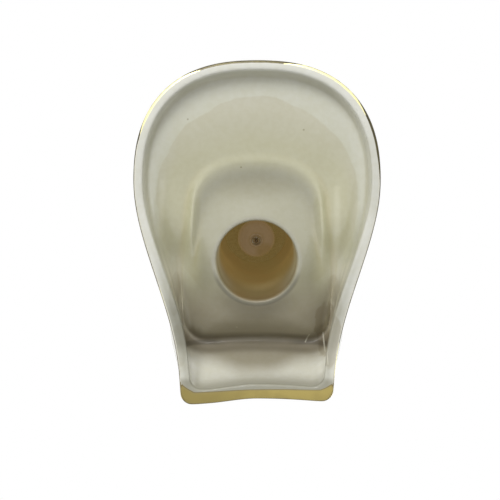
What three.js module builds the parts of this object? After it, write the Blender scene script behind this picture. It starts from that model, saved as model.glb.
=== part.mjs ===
// Porcelain bell with a pear-shaped mouth, a hollow handle and a short bead clapper.
// Millimetres, +Z up. The bell stands on its rim at z = 0, +Y is the wide back of the mouth.
import * as THREE from "three";
import { mergeVertices } from "three/addons/utils/BufferGeometryUtils.js";

// Mouth and rim
const bellHeight = 106;
const mouthWidth = 71.5;
const mouthLength = 99.8;
const frontWidth = 44.8;
const frontCorner = 3.6;
const frontBow = 0.9;
const lipWidth = 3;
const frontLipWidth = 4.8;
const frontLipOverhang = 1.6;
const lipRound = 1.2;
const innerLipRound = 1;

// Casting: its wall, and how deep its inside lies above the rim, at the back and at the front
const wall = 2.8;
const coveDepth = 6.2;
const frontCoveDepth = 11;
const skirtDepth = 7.8;
const frontSkirtDepth = 24;
const webEdgeDepth = 9;
const frontWebEdgeDepth = 29;
const webDepth = 12.4;
const frontWebDepth = 31;
const bossDepth = 12.6;
const frontBossDepth = 26.5;
const dishDepth = 16.2;
const frontDishDepth = 21.5;
const collarDepth = 15;
const frontCollarDepth = 18.3;
const throatDepth = 14.2;
const frontThroatDepth = 16.5;
const channelDepth = 2.2;

// Skirt: how far the web's edge is drawn in from the rim, and how far its front cheeks spread
const backFlare = 10.9;
const sideFlare = 6;
const frontFlare = 10.4;
const cheekSpread = 0.8;
const footCorner = 8;
const footWideShift = 2.5;

// Shoulder: how far the outside is drawn in from the rim, and how it rises above the inside
const flareHeight = 4;
const flareWidth = 1.3;
const shoulderInset = 2.4;
const frontShoulderInset = 6.8;
const shoulderSpread = 3.2;
const shoulderRise = 2;
const capSpread = 2;
const capRise = 5.8;
const frontCapRise = 3.6;

// Boss, the raised arch round the throat
const bossWidth = 37.6;
const bossReach = 29.6;
const bossShoulder = 14.7;
const bossSetback = 2;
const bossFrontSetback = 6.6;
const grooveWidth = 2.2;
const collarWidth = 4;

// Throat and handle
const throatSetback = 9.6;
const throatMouthRadius = 11.9;
const throatWaistRadius = 10.8;
const throatTopRadius = 12.8;
const throatLipRound = 1.6;
const domeRise = 15;
const waistHeight = 55;
const handleFootRadius = 17;
const handleFootHeight = 29;
const frontHandleFootHeight = 46;
const handleWaistRadius = 13.6;
const handleSwellRadius = 16;
const crownRise = 21;

// Clapper and its hanging
const wireDiameter = 1.2;
const loopRadius = 2.2;
const neckLength = 1.6;
const beadDiameter = 12;
const collarDiameter = 3;
const collarLength = 1.8;
const tailLength = 0.5;
const cementDepth = 6.5;
const shankDepth = 4.5;
const clearance = 0.3;

// Roundings of the casting's section
const coveRound = 3;
const footRound = 1.6;
const shoulderRound = 9;
const flareRound = 3;
const bossRound = 2.6;
const grooveRound = 2.2;
const capRound = 11;
const dishRound = 3.4;
const collarRound = 2.6;
const handleFootRound = 14;
const handleRound = 16;

// Shares and powers that shape the outlines
const archPower = 2.45;
const rimEasePower = 1.7;
const bossEasePower = 1.2;
const fadeStartShare = 0.05;
const coveShare = 0.22;
const webEdgeShare = 0.35;
const dishShare = 0.5;
const channelCentreShare = 0.05;
const channelReachShare = 0.75;
const meetingShare = 0.5;
const cutShare = 0.45;

// Facets
const backSteps = 10;
const sideSteps = 10;
const cornerSteps = 4;
const frontSteps = 4;
const domeSteps = 6;
const roundSides = 28;
const wireSides = 8;
const arcsPerSection = 2;
const wireSteps = 44;
const beadSteps = 12;

// Places that follow from the sizes
const halfSteps = backSteps + sideSteps + cornerSteps + frontSteps;
const rimHalf = mouthWidth / 2;
const rimBack = mouthLength / 2;
const wideY = rimBack - rimHalf;
const throatY = -throatSetback;
const wireRadius = wireDiameter / 2;
const beadRadius = beadDiameter / 2;
const boreRadius = wireRadius + clearance;
const domeSpring = bellHeight - wall - domeRise;
const cementBottom = bellHeight - wall - cementDepth;
const eyeEntry = loopRadius + neckLength;

// Half outline, from the back's centre to the front's centre
function halfPear({ side, back, middle, cheek, front, corner, bow, ease }) {
  const points = [];
  const cornerStart = front + corner;
  for (let k = 0; k <= backSteps; k++) {
    const angle = (Math.PI / 2) * (1 - k / backSteps);
    const across = Math.max(Math.cos(angle), 0) ** (2 / archPower);
    const along = Math.max(Math.sin(angle), 0) ** (2 / archPower);
    points.push([k === 0 ? 0 : side * across, middle + (back - middle) * along]);
  }
  for (let k = 1; k <= sideSteps; k++) {
    const s = k / sideSteps;
    const ease01 = Math.sin((Math.PI / 2) * s) ** ease;
    points.push([side + (cheek - side) * ease01, middle + (cornerStart - middle) * s]);
  }
  for (let k = 1; k <= cornerSteps; k++) {
    const turn = (Math.PI / 2) * (k / cornerSteps);
    points.push([cheek - corner * (1 - Math.cos(turn)), cornerStart - corner * Math.sin(turn)]);
  }
  for (let k = 1; k <= frontSteps; k++) {
    const left = 1 - k / frontSteps;
    points.push([(cheek - corner) * left, front + bow * (1 - left * left)]);
  }
  return points;
}

// Whole outline: the half, then its mirror image back to the start
function mirrored(half, flip) {
  const rest = half.slice(1, -1).reverse();
  return [...half, ...rest.map(flip)];
}

function pear(size) {
  return mirrored(halfPear(size), ([x, y]) => [-x, y]);
}

// The same outline, moved outwards all round
function grown(size, by) {
  return {
    ...size,
    side: size.side + by,
    back: size.back + by,
    cheek: size.cheek + by,
    front: size.front - by,
    corner: size.corner + by,
  };
}

function circle(radius) {
  const half = [];
  for (let k = 0; k <= halfSteps; k++) {
    const angle = Math.PI / 2 - (Math.PI * k) / halfSteps;
    half.push([k % halfSteps === 0 ? 0 : radius * Math.cos(angle), throatY + radius * Math.sin(angle)]);
  }
  return mirrored(half, ([x, y]) => [-x, y]);
}

// A point on the way from one outline to the next
function between(from, to, share) {
  return from.map(([x, y], i) => [x + (to[i][0] - x) * share, y + (to[i][1] - y) * share]);
}

// The outline that lies a given width outside another, or half way where the two draw together
function beside(from, to, width) {
  return from.map(([x, y], i) => {
    const dx = to[i][0] - x;
    const dy = to[i][1] - y;
    const share = Math.min(width / Math.hypot(dx, dy), meetingShare);
    return [x + dx * share, y + dy * share];
  });
}

function smooth(x) {
  const t = Math.min(Math.max(x, 0), 1);
  return t * t * (3 - 2 * t);
}

// Shares round the outline: 1 at the back, fading to 0 where the web runs out at the front
function deepShares() {
  const half = [];
  for (let k = 0; k <= halfSteps; k++) {
    const s = (k - backSteps) / sideSteps;
    half.push(1 - smooth((s - fadeStartShare) / (1 - fadeStartShare)));
  }
  return mirrored(half, (share) => share);
}

// Shares round the outline: a hump on each side, where the skirt's foot runs in a channel
function channelShares() {
  const half = [];
  for (let k = 0; k <= halfSteps; k++) {
    const s = (k - backSteps) / sideSteps;
    half.push(smooth(1 - Math.abs(s - channelCentreShare) / channelReachShare));
  }
  return mirrored(half, (share) => share);
}

// One corner of the casting's section: its outline, its height at each point, and its rounding
function station(outline, levels, round = 0, steps = 1) {
  const heights = Array.isArray(levels) ? levels : outline.map(() => levels);
  return { points: outline.map(([x, y], i) => new THREE.Vector3(x, y, heights[i])), round, steps };
}

// Rounds each corner of the section and gives the rings of the loft
function roundedRings(stations) {
  const rings = [stations[0].points];
  for (let n = 1; n < stations.length - 1; n++) {
    const { points, round, steps } = stations[n];
    const before = stations[n - 1].points;
    const after = stations[n + 1].points;
    for (let k = 0; k <= steps; k++) {
      const t = k / steps;
      rings.push(points.map((corner, i) => bend(before[i], corner, after[i], round, t)));
    }
  }
  rings.push(stations[stations.length - 1].points);
  return rings;
}

// A point on the curve that cuts a corner, limited by the lengths of its two sides
function bend(before, corner, after, round, t) {
  const toBefore = before.clone().sub(corner);
  const toAfter = after.clone().sub(corner);
  const cut = Math.min(round, toBefore.length() * cutShare, toAfter.length() * cutShare);
  const start = corner.clone().add(toBefore.setLength(cut));
  const end = corner.clone().add(toAfter.setLength(cut));
  return new THREE.QuadraticBezierCurve3(start, corner, end).getPoint(t);
}

// Skin over rings, closed by a point at each end
function skin(rings, firstPole, lastPole) {
  const count = rings[0].length;
  const positions = [];
  for (const point of [firstPole, ...rings.flat(), lastPole]) {
    positions.push(point.x, point.y, point.z);
  }
  const at = (ring, i) => 1 + ring * count + (i % count);
  const last = 1 + rings.length * count;
  const index = [];
  for (let i = 0; i < count; i++) {
    index.push(0, at(0, i + 1), at(0, i));
    for (let ring = 0; ring < rings.length - 1; ring++) {
      index.push(at(ring, i), at(ring, i + 1), at(ring + 1, i));
      index.push(at(ring, i + 1), at(ring + 1, i + 1), at(ring + 1, i));
    }
    index.push(at(rings.length - 1, i), at(rings.length - 1, i + 1), last);
  }
  const geometry = new THREE.BufferGeometry();
  geometry.setAttribute("position", new THREE.Float32BufferAttribute(positions, 3));
  geometry.setIndex(index);
  return mergeVertices(geometry);
}

// Outlines of the rim, the mouth, the web's edge, the boss and the shoulder outside
function bellOutlines() {
  const rim = {
    side: rimHalf,
    back: rimBack,
    middle: wideY,
    cheek: frontWidth / 2,
    front: -rimBack,
    corner: frontCorner,
    bow: frontBow,
    ease: rimEasePower,
  };
  const mouth = { ...grown(rim, -lipWidth), front: rim.front + frontLipWidth, corner: frontCorner };
  const foot = {
    ...rim,
    side: rim.side - sideFlare,
    back: rim.back - backFlare,
    middle: rim.middle - footWideShift,
    cheek: rim.cheek + cheekSpread,
    front: rim.front + frontFlare,
    corner: footCorner,
  };
  const boss = {
    ...grown(foot, -bossSetback),
    side: bossWidth / 2,
    middle: throatY + bossShoulder,
    back: throatY + bossReach,
    front: foot.front + bossFrontSetback,
    ease: bossEasePower,
  };
  const shoulder = {
    ...grown(rim, -shoulderInset),
    cheek: foot.cheek + shoulderSpread,
    front: rim.front + frontShoulderInset,
    corner: footCorner + wall,
  };
  return { rim, mouth, foot, boss, shoulder };
}

// Dome about the throat's axis: radius and height at each step from its spring to near its top
function domeProfile(radius, spring, rise, fromAngle = 0) {
  const points = [];
  for (let k = 0; k < domeSteps; k++) {
    const angle = fromAngle + (Math.PI / 2 - fromAngle) * (k / domeSteps);
    points.push([radius * Math.cos(angle), spring + rise * Math.sin(angle)]);
  }
  return points;
}

function domeRings(radius, spring, rise) {
  return domeProfile(radius, spring, rise).map(([r, z]) => station(circle(r), z));
}

// The bell: one casting, from the crown down the outside, round the rim and up the inside
function bellBody() {
  const { rim, mouth, foot, boss, shoulder } = bellOutlines();
  const deep = deepShares();
  const channel = channelShares();
  const fromFront = (front, back) => deep.map((share) => front + (back - front) * share);
  const channelled = (levels) => levels.map((z, i) => z + channelDepth * channel[i]);
  const raised = (levels, by) => levels.map((z) => z + by);

  const coveLevels = fromFront(frontCoveDepth, coveDepth);
  const footLevels = fromFront(frontSkirtDepth, skirtDepth);
  const webEdgeLevels = channelled(fromFront(frontWebEdgeDepth, webEdgeDepth));
  const webLevels = channelled(fromFront(frontWebDepth, webDepth));
  const bossLevels = fromFront(frontBossDepth, bossDepth);
  const dishLevels = fromFront(frontDishDepth, dishDepth);
  const collarLevels = fromFront(frontCollarDepth, collarDepth);
  const throatLevels = fromFront(frontThroatDepth, throatDepth);
  const handleFootLevels = fromFront(frontHandleFootHeight, handleFootHeight);
  const shoulderLevels = raised(fromFront(frontSkirtDepth + shoulderRise, coveDepth), wall);
  const capLevels = channelled(fromFront(frontWebDepth + frontCapRise, webDepth + capRise));

  const mouthLine = pear(mouth);
  const footLine = pear(foot);
  const bossLine = pear(boss);
  const coveStart = pear({ ...mouth, front: mouth.front - frontLipOverhang });
  const coveLine = between(coveStart, footLine, coveShare);
  const grooveLine = beside(bossLine, footLine, grooveWidth);
  const webEdgeLine = between(footLine, grooveLine, webEdgeShare);
  const collarLine = circle(throatMouthRadius + collarWidth);

  const outside = [
    ...domeRings(handleSwellRadius, bellHeight - crownRise, crownRise).reverse(),
    station(circle(handleWaistRadius), waistHeight, handleRound, 4),
    station(circle(handleFootRadius), handleFootLevels, handleFootRound, 5),
    station(pear(grown(boss, capSpread)), capLevels, capRound, 3),
    station(pear(shoulder), shoulderLevels, shoulderRound, 5),
    station(pear(grown(rim, -flareWidth)), flareHeight, flareRound, 2),
    station(pear(rim), 0, lipRound, 3),
  ];
  const inside = [
    station(mouthLine, 0, innerLipRound, 3),
    station(coveLine, coveLevels, coveRound, 4),
    station(footLine, footLevels, footRound, 2),
    station(webEdgeLine, webEdgeLevels, grooveRound, 2),
    station(grooveLine, webLevels, grooveRound, 2),
    station(bossLine, bossLevels, bossRound, 3),
    station(between(bossLine, collarLine, dishShare), dishLevels, dishRound, 3),
    station(collarLine, collarLevels, collarRound, 2),
    station(circle(throatMouthRadius), throatLevels, throatLipRound, 4),
    station(circle(throatWaistRadius), waistHeight, handleRound, 3),
    ...domeRings(throatTopRadius, domeSpring, domeRise),
  ];
  const crown = new THREE.Vector3(0, throatY, bellHeight);
  const crownInside = new THREE.Vector3(0, throatY, bellHeight - wall);
  return skin(roundedRings([...outside, ...inside]), crown, crownInside);
}

// Turned piece about the Z axis from a profile of [radius, height] that runs upwards outside
function turned(profile) {
  const points = profile.map(([r, z]) => new THREE.Vector2(r, z));
  const geometry = new THREE.LatheGeometry(points, roundSides);
  geometry.rotateX(Math.PI / 2);
  return geometry;
}

// Cement that fills the crown's dome round the anchor's shank
function crownCement() {
  const radius = throatTopRadius - clearance;
  const rise = domeRise - clearance;
  const startAngle = Math.asin((cementBottom - domeSpring) / rise);
  const socketTop = cementBottom + shankDepth + clearance;
  return turned([
    [0, socketTop],
    [boreRadius, socketTop],
    [boreRadius, cementBottom],
    ...domeProfile(radius, domeSpring, rise, startAngle),
    [0, domeSpring + rise],
  ]);
}

// Round wire along a path
function wireAlong(points) {
  const section = new THREE.Shape();
  section.absarc(0, 0, wireRadius, 0, Math.PI * 2);
  return new THREE.ExtrudeGeometry(section, {
    steps: wireSteps,
    curveSegments: wireSides / arcsPerSection,
    bevelEnabled: false,
    extrudePath: new THREE.CatmullRomCurve3(points, false, "centripetal"),
  });
}

// Open loop of wire about the origin, in the XZ plane, entered by a straight shank from one side
function eyeWire(shankLength, way) {
  const points = [eyeEntry + shankLength, eyeEntry + shankLength / 2, eyeEntry].map(
    (height) => new THREE.Vector3(0, 0, way * height),
  );
  for (let degrees = 125; degrees <= 400; degrees += 25) {
    const angle = THREE.MathUtils.degToRad(degrees);
    points.push(new THREE.Vector3(loopRadius * Math.cos(angle), 0, way * loopRadius * Math.sin(angle)));
  }
  return wireAlong(points);
}

// Glass bead with its bore
function bead() {
  const start = Math.asin(boreRadius / beadRadius);
  const profile = [];
  for (let k = 0; k <= beadSteps; k++) {
    const angle = start + (Math.PI - 2 * start) * (k / beadSteps);
    profile.push([beadRadius * Math.sin(angle), -beadRadius * Math.cos(angle)]);
  }
  profile.push(profile[0]);
  return turned(profile);
}

// Crimped collar, hung below its own origin
function collarRing() {
  const outer = collarDiameter / 2;
  const edge = (outer - boreRadius) / 3;
  return turned([
    [boreRadius, -collarLength],
    [outer - edge, -collarLength],
    [outer, edge - collarLength],
    [outer, -edge],
    [outer - edge, 0],
    [boreRadius, 0],
    [boreRadius, -collarLength],
  ]);
}

function hangerLink() {
  const geometry = new THREE.TorusGeometry(loopRadius, wireRadius, wireSides, roundSides);
  geometry.rotateY(Math.PI / 2);
  return geometry;
}

function piece(name, geometry, material) {
  geometry.deleteAttribute("normal");
  geometry.deleteAttribute("uv");
  const mesh = new THREE.Mesh(mergeVertices(geometry), material);
  mesh.name = name;
  return mesh;
}

const porcelain = new THREE.MeshStandardMaterial({ color: 0xece8d6, roughness: 0.12, metalness: 0 });
const cement = new THREE.MeshStandardMaterial({ color: 0xcfc6ae, roughness: 0.9, metalness: 0 });
const steel = new THREE.MeshStandardMaterial({ color: 0xa9a6a0, roughness: 0.3, metalness: 1 });
const glass = new THREE.MeshStandardMaterial({ color: 0xb9a59a, roughness: 0.1, metalness: 0 });

// Heights of the hanging, each loop resting in the next with the clearance between the wires
const hangDrop = 2 * loopRadius - wireDiameter - clearance;
const anchorHeight = cementBottom - eyeEntry;
const linkHeight = anchorHeight - hangDrop;
const clapperEyeHeight = linkHeight - hangDrop;
const clapperEntry = clapperEyeHeight - eyeEntry;
const beadHeight = clapperEntry - beadRadius;
const beadBoreEnd = Math.sqrt(beadRadius ** 2 - boreRadius ** 2);
const collarTop = beadHeight - beadBoreEnd - clearance;
const stemLength = clapperEntry - (collarTop - collarLength - tailLength);

const bell = new THREE.Group();
bell.add(piece("bell_body", bellBody(), porcelain));

const hanging = new THREE.Group();
hanging.position.y = throatY;
bell.add(hanging);

hanging.add(piece("crown_cement", crownCement(), cement));

const anchor = piece("anchor_eye", eyeWire(shankDepth, 1), steel);
anchor.position.z = anchorHeight;
hanging.add(anchor);

const link = piece("hanger_link", hangerLink(), steel);
link.position.z = linkHeight;
hanging.add(link);

const clapper = new THREE.Group();
hanging.add(clapper);

const stem = piece("clapper_wire", eyeWire(stemLength, -1), steel);
stem.position.z = clapperEyeHeight;
clapper.add(stem);

const ball = piece("clapper_bead", bead(), glass);
ball.position.z = beadHeight;
clapper.add(ball);

const stop = piece("bead_stop", collarRing(), steel);
stop.position.z = collarTop;
clapper.add(stop);

export default bell;
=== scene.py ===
"""Porcelain bell: finishes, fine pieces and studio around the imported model.

Metres, +Z up. The bell stands on its rim at z = 0 and +Y is the wide back of its mouth. The camera
looks up into the mouth from below.
"""

import math

import bpy
import numpy as np
from mathutils import Matrix, Vector
from mathutils.kdtree import KDTree


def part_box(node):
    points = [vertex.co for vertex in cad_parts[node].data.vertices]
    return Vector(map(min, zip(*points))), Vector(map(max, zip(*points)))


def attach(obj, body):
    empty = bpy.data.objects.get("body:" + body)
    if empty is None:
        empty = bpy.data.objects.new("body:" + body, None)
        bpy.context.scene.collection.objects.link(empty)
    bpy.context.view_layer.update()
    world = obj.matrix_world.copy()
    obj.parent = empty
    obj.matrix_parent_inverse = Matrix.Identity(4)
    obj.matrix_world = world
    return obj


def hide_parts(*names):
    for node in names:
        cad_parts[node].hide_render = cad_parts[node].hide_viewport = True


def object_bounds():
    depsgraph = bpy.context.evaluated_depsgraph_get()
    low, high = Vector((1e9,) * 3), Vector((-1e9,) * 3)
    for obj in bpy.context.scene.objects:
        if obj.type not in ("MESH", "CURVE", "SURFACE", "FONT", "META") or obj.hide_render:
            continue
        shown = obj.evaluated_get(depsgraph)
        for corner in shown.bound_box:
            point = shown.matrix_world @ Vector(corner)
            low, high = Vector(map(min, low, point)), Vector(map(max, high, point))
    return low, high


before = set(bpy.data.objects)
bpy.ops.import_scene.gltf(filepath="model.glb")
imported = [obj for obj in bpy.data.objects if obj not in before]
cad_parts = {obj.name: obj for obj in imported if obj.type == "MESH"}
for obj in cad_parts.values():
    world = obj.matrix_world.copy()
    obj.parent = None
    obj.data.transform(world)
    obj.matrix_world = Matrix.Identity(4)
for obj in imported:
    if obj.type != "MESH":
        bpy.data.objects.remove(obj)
CAD_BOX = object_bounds()

bl_info = {
    "name": "Porcelain Bell",
    "version": (1, 0, 0),
    "blender": (4, 5, 0),
    "location": "3D View > Sidebar > Bell",
    "description": "Glazes, gilds and lights a porcelain bell with a bead clapper",
    "category": "Object",
}

MM = 0.001
FRONT = CAD_BOX[0][1]
THROAT_AXIS = sum(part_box("clapper_bead"), Vector()) / 2


# Settings


def colour_setting(name, description, default):
    return bpy.props.FloatVectorProperty(
        name=name, description=description, subtype="COLOR", min=0, max=1, default=default
    )


def length_setting(name, description, default):
    return bpy.props.FloatProperty(
        name=name, description=description, default=default, min=0, unit="LENGTH"
    )


class PorcelainSettings(bpy.types.PropertyGroup):
    """Glaze and gilding of the bell's casting."""

    smooth_levels: bpy.props.IntProperty(
        name="Smoothing levels", description="Times that the casting's faces are divided",
        default=2, min=1, max=2,
    )
    front_trim: length_setting("Front trim", "How far the front lip is drawn in", 0.9 * MM)
    gilt_width: length_setting("Gilt line", "Gilding round the back of the rim", 0.8 * MM)
    thin_gilt_width: length_setting("Thin gilt line", "Gilding along the rim's sides", 0.36 * MM)
    front_gilt_width: length_setting("Front gilding", "Gilding on the front lip", 5.0 * MM)
    outer_gilt_width: length_setting("Outer gilding", "Front gilding up the outside", 2.2 * MM)
    outside_colour: colour_setting("Outside", "Glaze outside the bell", (0.72, 0.71, 0.62))
    lip_colour: colour_setting("Lip", "Glaze on the lip", (0.70, 0.70, 0.64))
    skirt_colour: colour_setting("Skirt", "Glaze inside the skirt", (0.615, 0.615, 0.52))
    web_colour: colour_setting("Web", "Glaze on the web", (0.575, 0.575, 0.425))
    # Painted light on the steep sides, which lie in shade.
    steep_light_colour: colour_setting("Steep sides", "Thin glaze on the steep sides", (0.84, 0.83, 0.72))
    # Painted shade on the boss.
    boss_colour: colour_setting("Boss", "Glaze on the boss", (0.42, 0.41, 0.31))
    wall_colour: colour_setting("Front wall", "Glaze on the front wall", (0.74, 0.735, 0.66))
    # Painted shade deep in the front pocket.
    pocket_shade_colour: colour_setting("Pocket", "Thick glaze in the front pocket", (0.37, 0.34, 0.26))
    # Painted shade up in the throat: a darker, browner colour.
    throat_shade_colour: colour_setting("Throat", "Thick glaze up in the throat", (0.37, 0.33, 0.19))
    # Painted glow in the throat, which is no lamp.
    painted_throat_glow: colour_setting("Throat glow", "Light through the handle's wall", (0.088, 0.062, 0.021))
    gold_colour: colour_setting("Gold", "Fired gilding in the open", (0.43, 0.345, 0.112))
    # Dark gold as painted reflection: it stands in for the dark surroundings that the gold reflects.
    dark_gold_colour: colour_setting("Dark gold", "Thin gilding round the rim", (0.07, 0.06, 0.03))
    # Painted lamp reflection on the gold.
    gleam_gold_colour: colour_setting("Bright gold", "Polished gilding", (1.0, 0.93, 0.50))


class ClapperSettings(bpy.types.PropertyGroup):
    """Bead, stop, wire and cement."""

    bead_colour: colour_setting("Bead", "Milky glass of the bead", (0.42, 0.34, 0.25))
    # Painted glow in the bead, which is no lamp.
    bead_glow: colour_setting("Bead glow", "Light that the glass spreads", (0.105, 0.078, 0.046))
    wire_colour: colour_setting("Wire", "Steel wire", (0.48, 0.47, 0.45))
    # Painted glow on the stop, which is no lamp.
    stop_glow: colour_setting("Stop glow", "Light that reaches the stop", (0.045, 0.034, 0.018))
    cement_colour: colour_setting("Cement", "Cement in the crown", (0.85, 0.72, 0.48))
    # Painted glow on the cement, which is no lamp.
    cement_glow: colour_setting("Cement glow", "Light through the crown's wall", (0.024, 0.030, 0.013))


class StudioSettings(bpy.types.PropertyGroup):
    """Camera, lamps and surround."""

    distance: length_setting("Camera distance", "From the camera to the middle of the mouth", 0.6)
    aim: bpy.props.FloatVectorProperty(
        name="Aim", description="Point that the camera looks at", subtype="XYZ",
        default=(0.0, -4.6 * MM, 0.0),
    )
    tilt: bpy.props.FloatProperty(
        name="Tilt", description="Lean of the view from straight up", subtype="ANGLE",
        default=math.radians(6.5),
    )
    sideways: length_setting("Sideways", "Camera's step to the side, towards +X", 2.0 * MM)
    lens: bpy.props.FloatProperty(
        name="Lens", description="Focal length in millimetres", default=151.2,
    )
    mouth_lamp: bpy.props.FloatProperty(
        name="Mouth lamp", description="Soft lamp below the mouth", default=3.0, unit="POWER",
    )
    outside_lamp: bpy.props.FloatProperty(
        name="Outside lamp", description="Soft lamp above the bell", default=4.0, unit="POWER",
    )
    surround: bpy.props.FloatProperty(
        name="Surround", description="Level of the light from all round", default=0.45,
    )


# Shader maths


class Term:
    """One output in a material; arithmetic on it adds Math nodes."""

    def __init__(self, finish, output):
        self.finish = finish
        self.output = output

    def maths(self, operation, *terms):
        return self.finish.node("ShaderNodeMath", {"operation": operation}, dict(enumerate(terms)))

    def __add__(self, other):
        return self.maths("ADD", self, other)

    def __radd__(self, other):
        return self.maths("ADD", other, self)

    def __sub__(self, other):
        return self.maths("SUBTRACT", self, other)

    def __rsub__(self, other):
        return self.maths("SUBTRACT", other, self)

    def __mul__(self, other):
        return self.maths("MULTIPLY", self, other)

    def __rmul__(self, other):
        return self.maths("MULTIPLY", other, self)

    def __truediv__(self, other):
        return self.maths("DIVIDE", self, other)

    def rise(self, low, high):
        """0 below low, 1 above high, with a smooth step between."""
        return self.finish.node(
            "ShaderNodeMapRange",
            {"interpolation_type": "SMOOTHSTEP"},
            {"Value": self, "From Min": low, "From Max": high},
        )

    def fall(self, low, high):
        return 1 - self.rise(low, high)

    def size(self):
        return self.maths("ABSOLUTE", self)

    def larger(self, other):
        return self.maths("MAXIMUM", self, other)

    def beside(self, name):
        """Another output of the same node."""
        return Term(self.finish, self.output.node.outputs[name])


class Finish:
    """A material, or the world, and the ways to add nodes to it."""

    def __init__(self, name, owners="materials", output="ShaderNodeOutputMaterial"):
        self.owner = getattr(bpy.data, owners).new(name)
        self.owner.use_nodes = True
        self.output = output
        self.tree = self.owner.node_tree
        self.tree.nodes.clear()
        self.place = self.node("ShaderNodeTexCoord", output="Object")

    def node(self, kind, settings=None, sockets=None, output=0):
        made = self.tree.nodes.new(kind)
        for key, value in (settings or {}).items():
            if key == "stops":
                self.set_stops(made.color_ramp, value)
            else:
                setattr(made, key, value)
        for key, value in (sockets or {}).items():
            if isinstance(value, Term):
                self.tree.links.new(value.output, made.inputs[key])
            else:
                made.inputs[key].default_value = value
        return Term(self, made.outputs[output] if made.outputs else None)

    def set_stops(self, ramp, stops):
        while len(ramp.elements) < len(stops):
            ramp.elements.new(1)
        for element, (position, colour) in zip(ramp.elements, stops):
            element.position = position
            element.color = (*colour, 1)

    def coordinates(self):
        """The place along X, Y and Z, each a number."""
        x = self.node("ShaderNodeSeparateXYZ", {}, {0: self.place}, output="X")
        return x, x.beside("Y"), x.beside("Z")

    def mixed(self, share, first, second, blend="MIX"):
        """Colour mix."""
        first, second = (c if isinstance(c, Term) else (*c, 1) for c in (first, second))
        return self.node(
            "ShaderNodeMix",
            {"data_type": "RGBA", "blend_type": blend},
            {0: share, 6: first, 7: second},
            output=2,
        )

    def tinted(self, share, colour, tint):
        """Colour multiplied by a tint where share is 1."""
        return self.mixed(share, colour, tint, "MULTIPLY")

    def noise(self, size, detail=2.0, distortion=0.0):
        """Soft noise about 0.5 whose lumps are size metres across."""
        return self.node(
            "ShaderNodeTexNoise",
            {},
            {"Vector": self.place, "Scale": 1 / size, "Detail": detail, "Distortion": distortion},
        )

    def attribute(self, name):
        return self.node("ShaderNodeAttribute", {"attribute_name": name}, output="Fac")

    def vector(self, operation, first, *others):
        """Vector maths, whose answer is a number for a length or a product."""
        output = "Value" if operation in ("LENGTH", "DISTANCE", "DOT_PRODUCT") else "Vector"
        sockets = dict(enumerate((first, *others)))
        return self.node("ShaderNodeVectorMath", {"operation": operation}, sockets, output=output)

    def oval(self, centre, radii):
        """Distance from an upright oval column's axis, as a share of its radii."""
        from_axis = self.vector("SUBTRACT", self.place, (*centre, 0))
        shares = self.vector("MULTIPLY", from_axis, (1 / radii[0], 1 / radii[1], 0))
        return self.vector("LENGTH", shares)

    def distance_to_stroke(self, start, end):
        """Distance from a straight stroke, seen along Z."""
        run = Vector((end[0] - start[0], end[1] - start[1], 0))
        from_start = self.vector("SUBTRACT", self.place, (*start, 0))
        from_start = self.vector("MULTIPLY", from_start, (1, 1, 0))
        share = self.vector("DOT_PRODUCT", from_start, run / run.length_squared)
        share = self.node("ShaderNodeClamp", {}, {"Value": share})
        nearest = self.node("ShaderNodeVectorMath", {"operation": "SCALE"}, {0: run, "Scale": share})
        return self.vector("DISTANCE", from_start, nearest)

    def light_rays(self):
        """1 for rays from the camera, in a reflection or through glass, and 0 for other light."""
        seen = self.node("ShaderNodeLightPath", output="Is Camera Ray")
        mirrored, through = seen.beside("Is Glossy Ray"), seen.beside("Is Transmission Ray")
        clamped_sum = {"operation": "ADD", "use_clamp": True}
        return self.node("ShaderNodeMath", clamped_sum, {0: seen + mirrored, 1: through})

    def bump(self, height, depth):
        """Bump whose height of 1 stands depth metres proud."""
        return self.node(
            "ShaderNodeBump", {}, {"Strength": 1.0, "Distance": depth, "Height": height}, output="Normal"
        )

    def close(self, shader):
        self.node(self.output, {}, {"Surface": shader})
        return self.owner


# Mesh work

MERGE_DISTANCE = 0.001 * MM
LIP_FACE_HEIGHT = 0.05 * MM
TRIM_REACH = 12 * MM
TRIM_EASE = 8 * MM
TRIM_SIDE = 14 * MM


def only(piece):
    """Deselects everything, then selects and activates one piece."""
    bpy.ops.object.select_all(action="DESELECT")
    piece.select_set(True)
    bpy.context.view_layer.objects.active = piece


def merged_copy(node, name):
    """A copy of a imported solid, with its triangles merged back into quads."""
    piece = bpy.data.objects.new(name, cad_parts[node].data.copy())
    piece.data.name = name
    bpy.context.scene.collection.objects.link(piece)
    only(piece)
    bpy.ops.object.mode_set(mode="EDIT")
    bpy.ops.mesh.select_all(action="SELECT")
    bpy.ops.mesh.remove_doubles(threshold=MERGE_DISTANCE)
    bpy.ops.mesh.tris_convert_to_quads(
        face_threshold=math.pi, shape_threshold=math.pi, topology_influence=1.0
    )
    bpy.ops.object.mode_set(mode="OBJECT")
    return piece


def smooth(piece, levels):
    """Divides a piece's faces into a smooth surface."""
    only(piece)
    divide = piece.modifiers.new("Smooth", "SUBSURF")
    divide.levels = divide.render_levels = levels
    bpy.ops.object.modifier_apply(modifier=divide.name)
    bpy.ops.object.shade_smooth()


def finish_piece(piece, material, body, node):
    """Gives a piece its material and its place in the frame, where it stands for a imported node."""
    piece.data.materials.clear()
    piece.data.materials.append(material)
    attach(piece, body)
    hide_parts(node)


def places(mesh):
    flat = np.empty(len(mesh.vertices) * 3)
    mesh.vertices.foreach_get("co", flat)
    return flat.reshape(-1, 3)


def edge_ends(mesh):
    flat = np.empty(len(mesh.edges) * 2, int)
    mesh.edges.foreach_get("vertices", flat)
    return flat.reshape(-1, 2)


def keep_attribute(mesh, name, values):
    attribute = mesh.attributes.new(name, "FLOAT", "POINT")
    attribute.data.foreach_set("value", np.asarray(values, np.float32))


def eased(share):
    """A share held between 0 and 1, with a soft start and end."""
    share = np.clip(share, 0, 1)
    return share * share * (3 - 2 * share)


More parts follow.
